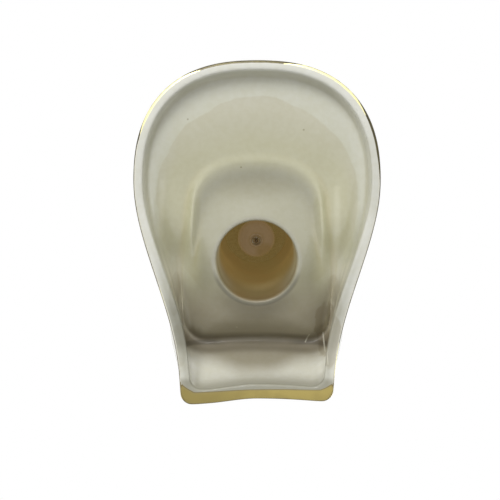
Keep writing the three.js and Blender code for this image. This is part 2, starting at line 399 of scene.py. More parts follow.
def trim_front(mesh, trim):
    """Draws the front lip in a little on its -X side, where the casting was fettled."""
    spots = places(mesh)
    near_front = eased((FRONT + TRIM_REACH - spots[:, 1]) / TRIM_EASE)
    to_the_side = eased((TRIM_SIDE - spots[:, 0]) / TRIM_SIDE)
    spots[:, 1] += trim * near_front * to_the_side
    mesh.vertices.foreach_set("co", spots.ravel())
    mesh.update()


def mark_inside(mesh):
    """Marks 0 outside the casting, 0.5 on the lip's face and 1 inside, by walking down from the crown."""
    spots = places(mesh)
    on_lip = spots[:, 2] < LIP_FACE_HEIGHT
    neighbours = [[] for _ in spots]
    for a, b in edge_ends(mesh):
        neighbours[a].append(b)
        neighbours[b].append(a)
    outside = np.zeros(len(spots), bool)
    waiting = [int(spots[:, 2].argmax())]
    outside[waiting[0]] = True
    while waiting:
        for other in neighbours[waiting.pop()]:
            if not outside[other] and not on_lip[other]:
                outside[other] = True
                waiting.append(other)
    keep_attribute(mesh, "inside", np.where(outside, 0.0, np.where(on_lip, 0.5, 1.0)))


# Gilding on the rim

RIM_HEIGHT = 1.5 * MM
RIM_EDGE_HEIGHT = 0.4 * MM
RIM_OUTLINE_STEPS = 1440
RIM_SECTORS = 112
OUTSIDE_LIMIT = 0.45
GILDING_HEIGHT = 16 * MM
FAR_FROM_RIM = 20.0
FRONT_BAND_END = 7 * MM
FRONT_BAND_EASE = 4.5 * MM
FRONT_GILT_SLANT = 0.034
GLEAM_CENTRE = 14 * MM
# Middle and reach of each stretch of painted lamp reflection on the gold, in degrees from +Y towards +X,
# and its strength.
GLEAM_STRETCHES = ((48, 21.5, 1), (-34.5, 22.5, 1), (-157, 6, 1), (140, 6, 0.7))
GLEAM_SLOPE = 2.5
BROAD_LINE_MIDDLE = -8
BROAD_LINE_REACH = 81
BROAD_LINE_EASE = 14


def rim_tree(spots, inside):
    """Search tree of points along the rim's outer edge."""
    near_rim = spots[(spots[:, 2] < RIM_HEIGHT) & (inside < OUTSIDE_LIMIT)]
    turns = np.arctan2(near_rim[:, 1], near_rim[:, 0]) / math.tau % 1
    radii = np.hypot(near_rim[:, 0], near_rim[:, 1])
    widest = {}
    for turn, radius in zip(turns, radii):
        sector = int(turn * RIM_SECTORS)
        if radius > widest.get(sector, (0, 0))[1]:
            widest[sector] = (turn, radius)
    known = np.array(sorted(widest.values()))
    around = np.arange(RIM_OUTLINE_STEPS) / RIM_OUTLINE_STEPS
    radius_at = np.interp(around, known[:, 0], known[:, 1], period=1)
    tree = KDTree(RIM_OUTLINE_STEPS)
    for k, (turn, radius) in enumerate(zip(around * math.tau, radius_at)):
        tree.insert((radius * math.cos(turn), radius * math.sin(turn), RIM_EDGE_HEIGHT), k)
    tree.balance()
    return tree


def painted_gleam_at(angle):
    """How strongly the painted lamp reflection shows on the gilding at an angle from +Y towards +X."""
    return max(
        strength * np.clip(GLEAM_SLOPE * (1 - abs((angle - middle + 180) % 360 - 180) / reach), 0, 1)
        for middle, reach, strength in GLEAM_STRETCHES
    )


def line_width(angle, settings):
    """Width of the gilt line, which is broad round the back and thin along the sides."""
    from_end = BROAD_LINE_REACH - abs(angle - BROAD_LINE_MIDDLE)
    broad = np.clip(from_end / BROAD_LINE_EASE, 0, 1)
    return settings.thin_gilt_width + (settings.gilt_width - settings.thin_gilt_width) * broad


def band_width(x, inside, settings):
    """Width of the front band, which leans across the lip and goes a little way up the outside."""
    if inside < OUTSIDE_LIMIT:
        return settings.outer_gilt_width
    return settings.front_gilt_width - x * FRONT_GILT_SLANT


def mark_gilding(mesh, settings):
    """Millimetres from the rim's edge and past the gilding, and how strongly the painted lamp reflection
    shows on the gilding.
    """
    spots = places(mesh)
    inside = np.empty(len(spots), np.float32)
    mesh.attributes["inside"].data.foreach_get("value", inside)
    tree = rim_tree(spots, inside)
    from_edge = np.full(len(spots), FAR_FROM_RIM)
    past = np.full(len(spots), FAR_FROM_RIM)
    polish = np.zeros(len(spots))
    for k in np.flatnonzero(spots[:, 2] < GILDING_HEIGHT):
        x, y, z = spots[k]
        away = tree.find((x, y, z))[2]
        angle = math.degrees(math.atan2(x, y - GLEAM_CENTRE))
        width = line_width(angle, settings)
        frontness = eased((FRONT + FRONT_BAND_END - y) / FRONT_BAND_EASE)
        width += (band_width(x, inside[k], settings) - width) * frontness
        from_edge[k] = away / MM
        past[k] = (away - width) / MM
        polish[k] = painted_gleam_at(angle)
    keep_attribute(mesh, "from_edge", from_edge)
    keep_attribute(mesh, "past_gilt", past)
    keep_attribute(mesh, "polish", polish)


# Hollows

HOLLOW_ROUNDS = 6
DEEP_HOLLOW = 150


def mark_hollows(mesh):
    """Marks how hollow the surface is, above 0 in grooves and below 0 on ridges."""
    spots = places(mesh)
    a, b = edge_ends(mesh).T
    count = np.bincount(a, minlength=len(spots)) + np.bincount(b, minlength=len(spots))
    normals = np.empty(len(spots) * 3)
    mesh.vertices.foreach_get("normal", normals)
    normals = normals.reshape(-1, 3)
    step = spots[b] - spots[a]
    span = (step * step).sum(1)
    lean = (step * normals[a]).sum(1) / span, -(step * normals[b]).sum(1) / span
    total = np.bincount(a, lean[0], len(spots)) + np.bincount(b, lean[1], len(spots))
    hollow = total / count
    for _ in range(HOLLOW_ROUNDS):
        total = np.bincount(a, hollow[b], len(spots)) + np.bincount(b, hollow[a], len(spots))
        hollow = (hollow + total / count) / 2
    keep_attribute(mesh, "hollow", np.clip(hollow / DEEP_HOLLOW, -1, 1))


# Glaze inside the mouth, with painted shade and painted light

# A span is where a change begins and where it is complete: along Z in names with START or END, along Y
# with FRONT or BACK, and along X with ACROSS or SIDES. An area is the centre and the radii of an upright
# oval column, and its edge is a span in shares of those radii. A tint multiplies the colour under it.

SKIRT_DEPTH = 14 * MM
# Where the lip's colour ends, the skirt's starts and ends and the web's starts.
SKIRT_DEPTH_SHARES = (0.05, 0.12, 0.55, 0.82)
WEB_AREA, WEB_EDGE = ((0, 8 * MM), (29.5 * MM, 31 * MM)), (0.985, 1.005)
WEB_TINT = (0.93, 0.905, 0.86)
WEB_WAVES, WEB_WAVE_SHARE = 12 * MM, 0.12
# Painted light on the steep sides and in the cove.
STEEP_ACROSS, STEEP_BACK = (18 * MM, 24 * MM), (-15 * MM, -4 * MM)
STEEP_START, STEEP_END = (1 * MM, 3 * MM), (24 * MM, 30 * MM)
COVE_ACROSS, COVE_START, COVE_END = (20 * MM, 26 * MM), (0.6 * MM, 1.5 * MM), (3.5 * MM, 6.5 * MM)
COVE_LIGHT_COLOUR, COVE_SHARE = (0.86, 0.86, 0.80), 0.5
# Painted shade on the boss and in its dished face.
BOSS_START, BOSS_SIDES = (12.4 * MM, 14.6 * MM), (15 * MM, 19.5 * MM)
DISH_AREA, DISH_EDGE = ((0, 12.5 * MM), (15 * MM, 6 * MM)), (0.2, 1.1)
DISH_SHADE_TINT = (0.856, 0.844, 0.808)

# The front wall, and painted shade deep in the pocket on the wall and the slope; the wall's shade reaches
# lower at its middle.
WALL_BACK = (-38 * MM, -35.5 * MM)
WALL_SHADE, WALL_SIDES, WALL_SIDE_STEP = (9.2 * MM, 20.8 * MM), (3 * MM, 15 * MM), 8 * MM
SLOPE_BACK, SLOPE_START = (-27 * MM, -12 * MM), (14 * MM, 17 * MM)
# Painted shade below the throat.
BELOW_THROAT_AREA, BELOW_THROAT_EDGE = ((0, -21.5 * MM), (14 * MM, 7 * MM)), (0.3, 1.1)
BELOW_THROAT_SHADE_TINT = (0.64, 0.63, 0.60)
# Painted light in the deep grooves at the pocket's sides, which lie in shade.
GROOVE_ACROSS, GROOVE_FRONT = (19 * MM, 20.5 * MM), (-33 * MM, -31 * MM)
GROOVE_START, GROOVE_END = (24.5 * MM, 27.5 * MM), (29.4 * MM, 30.6 * MM)
GROOVE_LIGHT_COLOUR, GROOVE_SHARE = (0.74, 0.72, 0.62), 0.75
# Painted shade in the crease, at the crease's ends and by the lip.
CREASE_START, CREASE_BACK = (24 * MM, 28.5 * MM), (-35.2 * MM, -32 * MM)
CREASE_SHADE_TINT = (0.62, 0.60, 0.58)
CREASE_END_FRONT, CREASE_END_BACK = (-37 * MM, -36.3 * MM), (-35.7 * MM, -35 * MM)
CREASE_END_ACROSS, CREASE_END_START = (8 * MM, 14 * MM), (20 * MM, 24 * MM)
CREASE_END_SHADE_TINT = (0.60, 0.592, 0.576)
BY_LIP_BACK, BY_LIP_END = (-43 * MM, -41 * MM), (1 * MM, 18 * MM)
BY_LIP_SHADE_TINT = (0.60, 0.59, 0.55)
# Painted light at the front wall's ends, which lie in shade.
WALL_END_ACROSS = (17.3 * MM, 19 * MM)
WALL_END_START, WALL_END_END = (0.5 * MM, 4 * MM), (17 * MM, 22 * MM)
WALL_END_LIGHT_COLOUR, WALL_END_SHARES = (0.98, 0.98, 0.93), (0.3, 0.85)

MIDDLE = (0, 1 * MM)
# Painted shade on the lip.
LIP_SHADE_EDGE, LIP_SHADE_END, LIP_SHADE_TINT = (0.5, 1.1), (0.6 * MM, 1.6 * MM), (0.66, 0.66, 0.60)
# Area of each stretch of painted shade on the lip, and its strength.
LIP_SHADE_AREAS = (
    ((-34 * MM, 17 * MM), (8 * MM, 15 * MM), 0.36),
    ((34 * MM, 19 * MM), (8 * MM, 13 * MM), 0.2),
    ((24 * MM, -26 * MM), (9 * MM, 22 * MM), 0.5),
)
# Painted shade on the lip's narrow sides and on its inner half in front.
NARROW_BACK, NARROW_FRONT, NARROW_END = (-24 * MM, -14 * MM), (-36 * MM, -31 * MM), (10 * MM, 18 * MM)
NARROW_FROM_EDGE, NARROW_TINT, NARROW_SHARES = (0.1, 0.8), (0.40, 0.39, 0.35), (0.3, 0.65)
INNER_HALF_BACK, INNER_HALF_END = (-16 * MM, 4 * MM), (0.8 * MM, 1.8 * MM)
INNER_HALF_FROM_EDGE, INNER_HALF_TINT = (0.6, 2.2), (0.791, 0.791, 0.7635)

# Start and end of each faint pale line beside the web, a painted highlight along an edge.
HIGHLIGHT_LINES = (
    ((27.3 * MM, 13.9 * MM), (28.2 * MM, 0.1 * MM)),
    ((28.2 * MM, 0.1 * MM), (24.7 * MM, -19.5 * MM)),
    ((-29.3 * MM, 8.0 * MM), (-26.1 * MM, -8.0 * MM)),
    ((-23.3 * MM, 12.0 * MM), (-23.5 * MM, -2.0 * MM)),
    ((-23.5 * MM, -2.0 * MM), (-22.1 * MM, -19.5 * MM)),
)
HIGHLIGHT_LINE_BREADTH, HIGHLIGHT_LINE_START = (0.1 * MM, 1.5 * MM), (1 * MM, 3 * MM)
HIGHLIGHT_LINE_COLOUR, HIGHLIGHT_LINE_SHARE = (0.86, 0.85, 0.72), 0.2
# Area of each darker patch of painted shade, and its strength.
SHADE_PATCHES = (
    ((-20.6 * MM, -30.5 * MM), (3.6 * MM, 9 * MM), 0.6),
    ((22.3 * MM, -32.0 * MM), (2.6 * MM, 7 * MM), 0.3),
    ((-22.9 * MM, -19.0 * MM), (1.5 * MM, 5.0 * MM), 0.25),
    ((23.9 * MM, -18.5 * MM), (1.5 * MM, 5.5 * MM), 0.25),
)
SHADE_PATCH_EDGE, SHADE_PATCH_WAVES, SHADE_PATCH_WAVE_SHARE, SHADE_PATCH_TINT = (0.82, 1.0), 5 * MM, 1.1, (0.66, 0.61, 0.52)
PINHOLES = ((19.9 * MM, 32.3 * MM), (-13.5 * MM, 29.2 * MM), (4.6 * MM, 18.1 * MM))
PINHOLE_RADII, PINHOLE_TINT = (0.4 * MM, 0.4 * MM), (0.64, 0.598, 0.52)
FLECK_AREA, FLECK_SHARE = ((5.9 * MM, -30.5 * MM), (0.35 * MM, 0.3 * MM)), 0.6
FLAW_EDGE = (0.3, 1.0)
# Start and end of each painted glint, a pale stroke.
GLINT_STROKES = (
    ((-15.8 * MM, -33.3 * MM), (-14.7 * MM, -35.9 * MM)),
    ((-20.0 * MM, -33.0 * MM), (-20.4 * MM, -37.6 * MM)),
)
GLINT_BREADTH, GLINT_SHARE, FLECK_AND_GLINT_COLOUR = (0.05 * MM, 0.32 * MM), 0.75, (0.62, 0.60, 0.50)


def between(low, high, x):
    """A number that is low on the -X side and high on the +X side."""
    return low + x.rise(*MIDDLE) * (high - low)


def skirt_and_web(glaze, settings, x, y, z):
    """Ivory glaze from the lip up the skirt to the web, with painted light on the steep sides and in the
    cove, which lie in shade.
    """
    lip, skirt, web = settings.lip_colour, settings.skirt_colour, settings.web_colour
    stops = list(zip(SKIRT_DEPTH_SHARES, (lip, skirt, skirt, web)))
    ivory = glaze.node("ShaderNodeValToRGB", {"stops": stops}, {0: z / SKIRT_DEPTH})
    wavy = (glaze.noise(WEB_WAVES) - 0.5) * WEB_WAVE_SHARE
    in_web = (glaze.oval(*WEB_AREA) + wavy).fall(*WEB_EDGE)
    ivory = glaze.tinted(in_web, ivory, WEB_TINT)
    # Painted light on the steep sides and in the cove.
    steep = x.size().rise(*STEEP_ACROSS) * y.fall(*STEEP_BACK) * z.rise(*STEEP_START)
    ivory = glaze.mixed(steep * z.fall(*STEEP_END), ivory, settings.steep_light_colour)
    cove = x.size().rise(*COVE_ACROSS) * z.rise(*COVE_START) * z.fall(*COVE_END)
    return glaze.mixed(cove * COVE_SHARE, ivory, COVE_LIGHT_COLOUR)


def boss(glaze, settings, ivory, x, z):
    """Painted shade on the boss: a darker colour, darker still in its dished face."""
    on_boss = z.rise(*BOSS_START) * x.size().fall(*BOSS_SIDES)
    ivory = glaze.mixed(on_boss, ivory, settings.boss_colour)
    return glaze.tinted(glaze.oval(*DISH_AREA).fall(*DISH_EDGE), ivory, DISH_SHADE_TINT)


def front_pocket(glaze, settings, ivory, x, y, z):
    """Lighter front wall, with painted shade deep in the pocket, below the throat, in the crease and by
    the lip, and painted light in the side grooves and at the wall's ends.
    """
    across = x.size()
    on_wall = y.fall(*WALL_BACK)
    ivory = glaze.mixed(on_wall, ivory, settings.wall_colour)
    # Painted shade deep on the wall and the slope.
    wall_depth = z - across.rise(*WALL_SIDES) * WALL_SIDE_STEP
    deep_on_wall = wall_depth.rise(*WALL_SHADE) * on_wall
    deep_on_slope = y.fall(*SLOPE_BACK) * z.rise(*SLOPE_START) * (1 - on_wall)
    ivory = glaze.mixed(deep_on_wall + deep_on_slope, ivory, settings.pocket_shade_colour)
    # Painted shade below the throat.
    below_throat = glaze.oval(*BELOW_THROAT_AREA).fall(*BELOW_THROAT_EDGE)
    ivory = glaze.tinted(below_throat, ivory, BELOW_THROAT_SHADE_TINT)
    # Painted light in the grooves.
    groove = across.rise(*GROOVE_ACROSS) * y.rise(*GROOVE_FRONT)
    groove = groove * z.rise(*GROOVE_START) * z.fall(*GROOVE_END)
    ivory = glaze.mixed(groove * GROOVE_SHARE, ivory, GROOVE_LIGHT_COLOUR)
    # Painted shade in the crease, at the crease's ends and by the lip.
    crease = z.rise(*CREASE_START) * y.fall(*CREASE_BACK)
    ivory = glaze.tinted(crease, ivory, CREASE_SHADE_TINT)
    crease_end = y.rise(*CREASE_END_FRONT) * y.fall(*CREASE_END_BACK)
    crease_end = crease_end * across.rise(*CREASE_END_ACROSS) * z.rise(*CREASE_END_START)
    ivory = glaze.tinted(crease_end, ivory, CREASE_END_SHADE_TINT)
    ivory = glaze.tinted(z.fall(*BY_LIP_END) * y.fall(*BY_LIP_BACK), ivory, BY_LIP_SHADE_TINT)
    # Painted light at the wall's ends.
    wall_end = on_wall * across.rise(*WALL_END_ACROSS) * z.rise(*WALL_END_START) * z.fall(*WALL_END_END)
    return glaze.mixed(wall_end * between(*WALL_END_SHARES, x), ivory, WALL_END_LIGHT_COLOUR)


def shaded_lip(glaze, ivory, x, y, z):
    """Painted shade: darker stretches of the lip, darker narrow sides above it and a darker inner half in
    front.
    """
    for centre, radii, strength in LIP_SHADE_AREAS:
        # Painted shade on a stretch of the lip.
        dull = glaze.oval(centre, radii).fall(*LIP_SHADE_EDGE) * z.fall(*LIP_SHADE_END) * strength
        ivory = glaze.tinted(dull, ivory, LIP_SHADE_TINT)
    from_edge = glaze.attribute("from_edge")
    narrow = from_edge.rise(*NARROW_FROM_EDGE) * z.fall(*NARROW_END)
    narrow = narrow * y.fall(*NARROW_BACK) * y.rise(*NARROW_FRONT)
    ivory = glaze.tinted(narrow * between(*NARROW_SHARES, x), ivory, NARROW_TINT)
    inner_half = from_edge.rise(*INNER_HALF_FROM_EDGE)
    inner_half = inner_half * y.fall(*INNER_HALF_BACK) * z.fall(*INNER_HALF_END)
    return glaze.tinted(inner_half, ivory, INNER_HALF_TINT)


def web_edge_highlights(glaze, ivory, z):
    """Painted highlights: faint pale lines along the edges on both sides of the web."""
    highlight = None
    for start, end in HIGHLIGHT_LINES:
        stroke = glaze.distance_to_stroke(start, end).fall(*HIGHLIGHT_LINE_BREADTH)
        highlight = highlight.larger(stroke) if highlight else stroke
    return glaze.mixed(highlight * z.rise(*HIGHLIGHT_LINE_START) * HIGHLIGHT_LINE_SHARE, ivory, HIGHLIGHT_LINE_COLOUR)


def shade_patches(glaze, ivory):
    """Painted shade: darker patches in the front corners and the channel beside the boss."""
    ragged = (glaze.noise(SHADE_PATCH_WAVES, distortion=0.4) - 0.5) * SHADE_PATCH_WAVE_SHARE
    patches = None
    for centre, radii, strength in SHADE_PATCHES:
        # Each darker patch of painted shade.
        run = (glaze.oval(centre, radii) + ragged).fall(*SHADE_PATCH_EDGE) * strength
        patches = patches.larger(run) if patches else run
    return glaze.tinted(patches, ivory, SHADE_PATCH_TINT)


def flaws_and_glints(glaze, ivory):
    """Brown pinholes in the web, and pale marks in the pocket: a pale fleck and painted glints as
    strokes.
    """
    for centre in PINHOLES:
        pinhole = glaze.oval(centre, PINHOLE_RADII).fall(*FLAW_EDGE)
        ivory = glaze.tinted(pinhole, ivory, PINHOLE_TINT)
    pale = glaze.oval(*FLECK_AREA).fall(*FLAW_EDGE) * FLECK_SHARE
    # A painted glint.
    for start, end in GLINT_STROKES:
        stroke = glaze.distance_to_stroke(start, end).fall(*GLINT_BREADTH)
        pale = pale.larger(stroke * GLINT_SHARE)
    return glaze.mixed(pale, ivory, FLECK_AND_GLINT_COLOUR)


# Throat, gilding and the whole glaze

# Edges here are distances from the throat's axis.
# Where the painted shade up the throat starts, and its edge.
THROAT_START, THROAT_EDGE = (16 * MM, 29 * MM), (13.2 * MM, 14 * MM)
# Painted shade on the collar round the throat's mouth, darkest on its front side.
COLLAR_EDGE, COLLAR_END, COLLAR_FRONT = (12.9 * MM, 13.6 * MM), (18 * MM, 20 * MM), (-16 * MM, -11 * MM)
COLLAR_FRONT_SHADE_COLOUR, COLLAR_SHADE_COLOUR = (0.30, 0.285, 0.215), (0.45, 0.44, 0.36)
SHADED_START, SHADED_END, SHADED_BACK = (15.5 * MM, 19 * MM), (30 * MM, 50 * MM), (-17 * MM, -10 * MM)
SHADED_TINT = (0.24, 0.24, 0.24)
# Painted glow in the throat, which is no lamp: where it starts, its edge round the widening bore, and its
# colours.
GLOW_START, GLOW_EDGE = (13.5 * MM, 18 * MM), (12.0 * MM, 12.9 * MM)
BORE_WIDENING, BORE_WIDENS = 1.3 * MM, (18 * MM, 26 * MM)
WARM_GLOW, WARM_GLOW_SHARE, WARM_GLOW_SIZE = (0.11, 0.055, 0.016), 0.3, 12 * MM
SIDE_GLOW, SIDE_GLOW_ACROSS, SIDE_GLOW_END = (0.112, 0.104, 0.068), (5 * MM, 11 * MM), (24 * MM, 46 * MM)
POOLED_TINT, POOLED_FRONT = (0.944, 0.92, 0.864), (-30 * MM, -18 * MM)
CLOUD_SIZE, CLOUD_TINT = 9 * MM, (0.979, 0.9755, 0.951)
MOTTLE_SIZE, MOTTLE_TINT = 1.7 * MM, (0.97, 0.965, 0.94)
POCKET_BACK, POCKET_DULLNESS = (-24 * MM, -18 * MM), 0.9
RIPPLE_SIZE, FINE_RIPPLE_SIZE, RIPPLE_DEPTH = 4 * MM, 0.9 * MM, 0.05 * MM

# PAST is millimetres past the gilding, which are below 0 on the gold.
FRONT_BAND = (FRONT + 6 * MM, FRONT + 11 * MM)
WEAR_SIZE, GILT_WAVES = 4 * MM, 3 * MM
WORN_GOLD, WORN_LINE = (0.34, 0.27, 0.09), (0.12, 0.10, 0.04)
SIDE_GOLD, SIDE_GOLD_ACROSS = (0.28, 0.225, 0.075), (-4 * MM, 14 * MM)
THIN_GOLD, THIN_GOLD_PAST = (0.30, 0.26, 0.15), (-1.6, -0.1)
INNER_LINE, INNER_LINE_PAST = (0.16, 0.12, 0.05), (-0.6, -0.2)


def gilding(glaze, settings, x, y):
    """Gold: a thin dark line, its darkness a painted reflection of dark surroundings, with painted lamp
    reflections along stretches, and a broad worn band on the front lip.
    """
    from_edge = glaze.attribute("from_edge")
    past_gilt = glaze.attribute("past_gilt")
    polish = glaze.attribute("polish")
    worn = glaze.noise(WEAR_SIZE, 3).rise(0.35, 0.7)
    band = glaze.mixed(worn * 0.6, settings.gold_colour, WORN_GOLD)
    band = glaze.mixed(x.rise(*SIDE_GOLD_ACROSS) * 0.75, band, SIDE_GOLD)
    band = glaze.mixed(past_gilt.rise(*THIN_GOLD_PAST) * 0.4, band, THIN_GOLD)
    band = glaze.mixed(past_gilt.rise(*INNER_LINE_PAST) * 0.7, band, INNER_LINE)
    # Painted reflection: dark gold at the band's outer edge and along the thin line.
    band = glaze.mixed(from_edge.fall(0.1, 0.5) * 0.8, band, settings.dark_gold_colour)
    line = glaze.mixed(worn * 0.5, settings.dark_gold_colour, WORN_LINE)
    # Painted lamp reflections along stretches of the thin line.
    bright = (from_edge + polish * 0.55).rise(0.62, 0.72) * polish.rise(0.02, 0.06)
    line = glaze.mixed(bright, line, settings.gleam_gold_colour)
    return glaze.mixed(y.fall(*FRONT_BAND), line, band)


def painted_throat_glow(glaze, settings, x, z):
    """Painted glow in the throat, which is no lamp: warm, and paler at the sides of the throat."""
    uneven = glaze.noise(WARM_GLOW_SIZE).rise(0.35, 0.65)
    glow = glaze.mixed(uneven * WARM_GLOW_SHARE, settings.painted_throat_glow, WARM_GLOW)
    low_sides = z.fall(*SIDE_GLOW_END) * x.size().rise(*SIDE_GLOW_ACROSS)
    return glaze.mixed(low_sides, glow, SIDE_GLOW)


def glazed_porcelain(settings):
    """Ivory glaze, thicker and browner in the hollows, with painted shade and painted light inside the
    mouth and painted shade and a painted glow up the throat, gilded at the rim.
    """
    glaze = Finish("glazed_porcelain")
    x, y, z = glaze.coordinates()
    inside = glaze.attribute("inside").rise(0.15, 0.45)
    ivory = skirt_and_web(glaze, settings, x, y, z)
    ivory = boss(glaze, settings, ivory, x, z)
    ivory = front_pocket(glaze, settings, ivory, x, y, z)
    ivory = shaded_lip(glaze, ivory, x, y, z)
    ivory = web_edge_highlights(glaze, ivory, z)
    ivory = flaws_and_glints(glaze, shade_patches(glaze, ivory))
    ivory = glaze.mixed(inside, settings.outside_colour, ivory)

    axis_point = glaze.node("ShaderNodeCombineXYZ", {}, {0: THROAT_AXIS.x, 1: THROAT_AXIS.y, 2: z})
    from_axis = glaze.vector("DISTANCE", glaze.place, axis_point)
    # Painted shade on the collar round the throat's mouth.
    collar = from_axis.fall(*COLLAR_EDGE) * z.fall(*COLLAR_END) * inside
    collar_shade_colour = glaze.mixed(y.rise(*COLLAR_FRONT), COLLAR_FRONT_SHADE_COLOUR, COLLAR_SHADE_COLOUR)
    ivory = glaze.mixed(collar, ivory, collar_shade_colour)
    # Painted shade up in the throat.
    within = from_axis.fall(*THROAT_EDGE) * inside
    in_throat = within * z.rise(*THROAT_START)
    ivory = glaze.mixed(in_throat, ivory, settings.throat_shade_colour)
    shaded = within * z.rise(*SHADED_START) * z.fall(*SHADED_END) * y.fall(*SHADED_BACK)
    ivory = glaze.tinted(shaded, ivory, SHADED_TINT)

    pooled = glaze.attribute("hollow").rise(0.05, 0.9) * y.rise(*POOLED_FRONT)
    ivory = glaze.tinted(pooled, ivory, POOLED_TINT)
    ivory = glaze.tinted(glaze.noise(CLOUD_SIZE, 3).rise(0.3, 0.7), ivory, CLOUD_TINT)
    ivory = glaze.tinted(glaze.noise(MOTTLE_SIZE, 3).rise(0.35, 0.65), ivory, MOTTLE_TINT)

    wavy = (glaze.noise(GILT_WAVES, 1) - 0.5) * 0.12
    gilded = (glaze.attribute("past_gilt") + wavy).fall(-0.06, 0.06)
    bore_widening = z.rise(*BORE_WIDENS) * BORE_WIDENING
    # Painted glow up the throat.
    glowing = (from_axis - bore_widening).fall(*GLOW_EDGE) * z.rise(*GLOW_START) * inside
    in_pocket = y.fall(*POCKET_BACK) * inside * POCKET_DULLNESS
    ripple = glaze.noise(RIPPLE_SIZE, 1) * 0.7 + glaze.noise(FINE_RIPPLE_SIZE, 1) * 0.3
    shader = glaze.node(
        "ShaderNodeBsdfPrincipled",
        {},
        {
            "Base Color": glaze.mixed(gilded, ivory, gilding(glaze, settings, x, y)),
            "Metallic": gilded * 0.6,
            "Roughness": 0.28 + gilded * 0.1 + in_pocket * 0.3,
            "IOR": 1.5,
            "Coat Weight": (1 - gilded) * (1 - in_throat) * (1 - in_pocket) * (1 - collar) * 0.8,
            "Coat Roughness": 0.06,
            "Emission Color": glaze.mixed(glowing, (0, 0, 0), painted_throat_glow(glaze, settings, x, z)),
            "Emission Strength": 1.0,
            "Normal": glaze.bump(ripple, RIPPLE_DEPTH),
        },
    )
    return glaze.close(shader)


# Clapper's finishes

STREAK_SIZE, STREAK_COLOUR = 2.2 * MM, (0.34, 0.26, 0.18)
# Painted glow of the bead: how it falls round the bore, along the scratches, at the edge and over one
# patch.
BORE_RING_EDGE, BORE_RING_GLOW = (2.3 * MM, 2.9 * MM), (0.075, 0.052, 0.022)
SCRATCH_SIZE, SCRATCH_SIDE, SCRATCH_GLOW = 0.45 * MM, (2.5 * MM, 3.6 * MM), (0.05, 0.035, 0.016)
BEAD_EDGE, BEAD_EDGE_GLOW = (4.6 * MM, 5.9 * MM), (0.085, 0.060, 0.028)
DIM_GLOW_PLACE, DIM_GLOW_RADII = Vector((-2.6 * MM, -3.6 * MM)), (3.4 * MM, 3.0 * MM)
DIM_GLOW = (0.078, 0.055, 0.020)
GLASS_RIPPLE, GLASS_RIPPLE_DEPTH = 1.5 * MM, 0.12 * MM
WIRE_GRAIN, WIRE_GRAIN_DEPTH, TARNISH_SIZE = 0.5 * MM, 0.02 * MM, 2 * MM
TARNISH_COLOUR = (0.26, 0.20, 0.14)
CEMENT_GRAIN, CEMENT_GRAIN_DEPTH, CEMENT_GRAIN_COLOUR = 0.4 * MM, 0.15 * MM, (0.72, 0.58, 0.36)


def milky_glass(settings):
    """Cloudy pinkish glass with a painted glow, which is no lamp and is dimmer in a ring round its bore,
    along fine scratches on one side, towards its edge and over one patch.
    """
    glass = Finish("milky_glass")
    centre = THROAT_AXIS.xy
    x = glass.coordinates()[0]
    streak = glass.noise(STREAK_SIZE, 3, distortion=0.8)
    from_bore = glass.oval(centre, (1, 1))
    scratches = (glass.noise(SCRATCH_SIZE, distortion=2.5) - 0.5).size().fall(0.02, 0.05)
    scratched = x.rise(*SCRATCH_SIDE) * scratches
    dim_patch = glass.oval(centre + DIM_GLOW_PLACE, DIM_GLOW_RADII).fall(0.5, 1.1)
    colour = glass.mixed(streak.rise(0.35, 0.7) * 0.4, settings.bead_colour, STREAK_COLOUR)
    # Painted glow of the bead.
    glow = glass.mixed(from_bore.fall(*BORE_RING_EDGE) * 0.55, settings.bead_glow, BORE_RING_GLOW)
    glow = glass.mixed(scratched * 0.45, glow, SCRATCH_GLOW)
    glow = glass.mixed(from_bore.rise(*BEAD_EDGE) * 0.7, glow, BEAD_EDGE_GLOW)
    glow = glass.mixed(dim_patch * 0.7, glow, DIM_GLOW)
    shader = glass.node(
        "ShaderNodeBsdfPrincipled",
        {},
        {
            "Base Color": colour,
            "Roughness": 0.10 + streak * 0.1,
            "IOR": 1.5,
            "Transmission Weight": 0.15,
            "Emission Color": glow,
            "Emission Strength": 1.0,
            "Normal": glass.bump(glass.noise(GLASS_RIPPLE), GLASS_RIPPLE_DEPTH),
        },
    )
    return glass.close(shader)


def drawn_wire(settings, name="drawn_wire", glow=(0.0, 0.0, 0.0)):
    """Drawn steel wire, dull with age, with a painted glow, which is no lamp, where one is given."""
    steel = Finish(name)
    fine = steel.noise(WIRE_GRAIN, 3)
    tarnish = steel.noise(TARNISH_SIZE).rise(0.4, 0.65)
    shader = steel.node(
        "ShaderNodeBsdfPrincipled",
        {},
        {
            "Base Color": steel.mixed(tarnish, settings.wire_colour, TARNISH_COLOUR),
            "Metallic": 0.9,
            "Roughness": 0.3 + fine * 0.25,
            "Emission Color": (*glow, 1),
            "Emission Strength": 1.0,
            "Normal": steel.bump(fine, WIRE_GRAIN_DEPTH),
        },
    )
    return steel.close(shader)


def set_cement(settings):
    """Sandy cement, with a painted glow."""
    cement = Finish("crown_cement")
    grain = cement.noise(CEMENT_GRAIN, 4)
    shader = cement.node(
        "ShaderNodeBsdfPrincipled",
        {},
        {
            "Base Color": cement.mixed(grain.rise(0.3, 0.7), settings.cement_colour, CEMENT_GRAIN_COLOUR),
            "Roughness": 0.9,
            "Emission Color": (*settings.cement_glow, 1),
            "Emission Strength": 1.0,
            "Normal": cement.bump(grain, CEMENT_GRAIN_DEPTH),
        },
    )
    return cement.close(shader)


# Studio's finishes

FLOOR_SHADOW_SHARE = 0.38
FLOOR_SHADOW_EDGE = (0.12, 0.42)


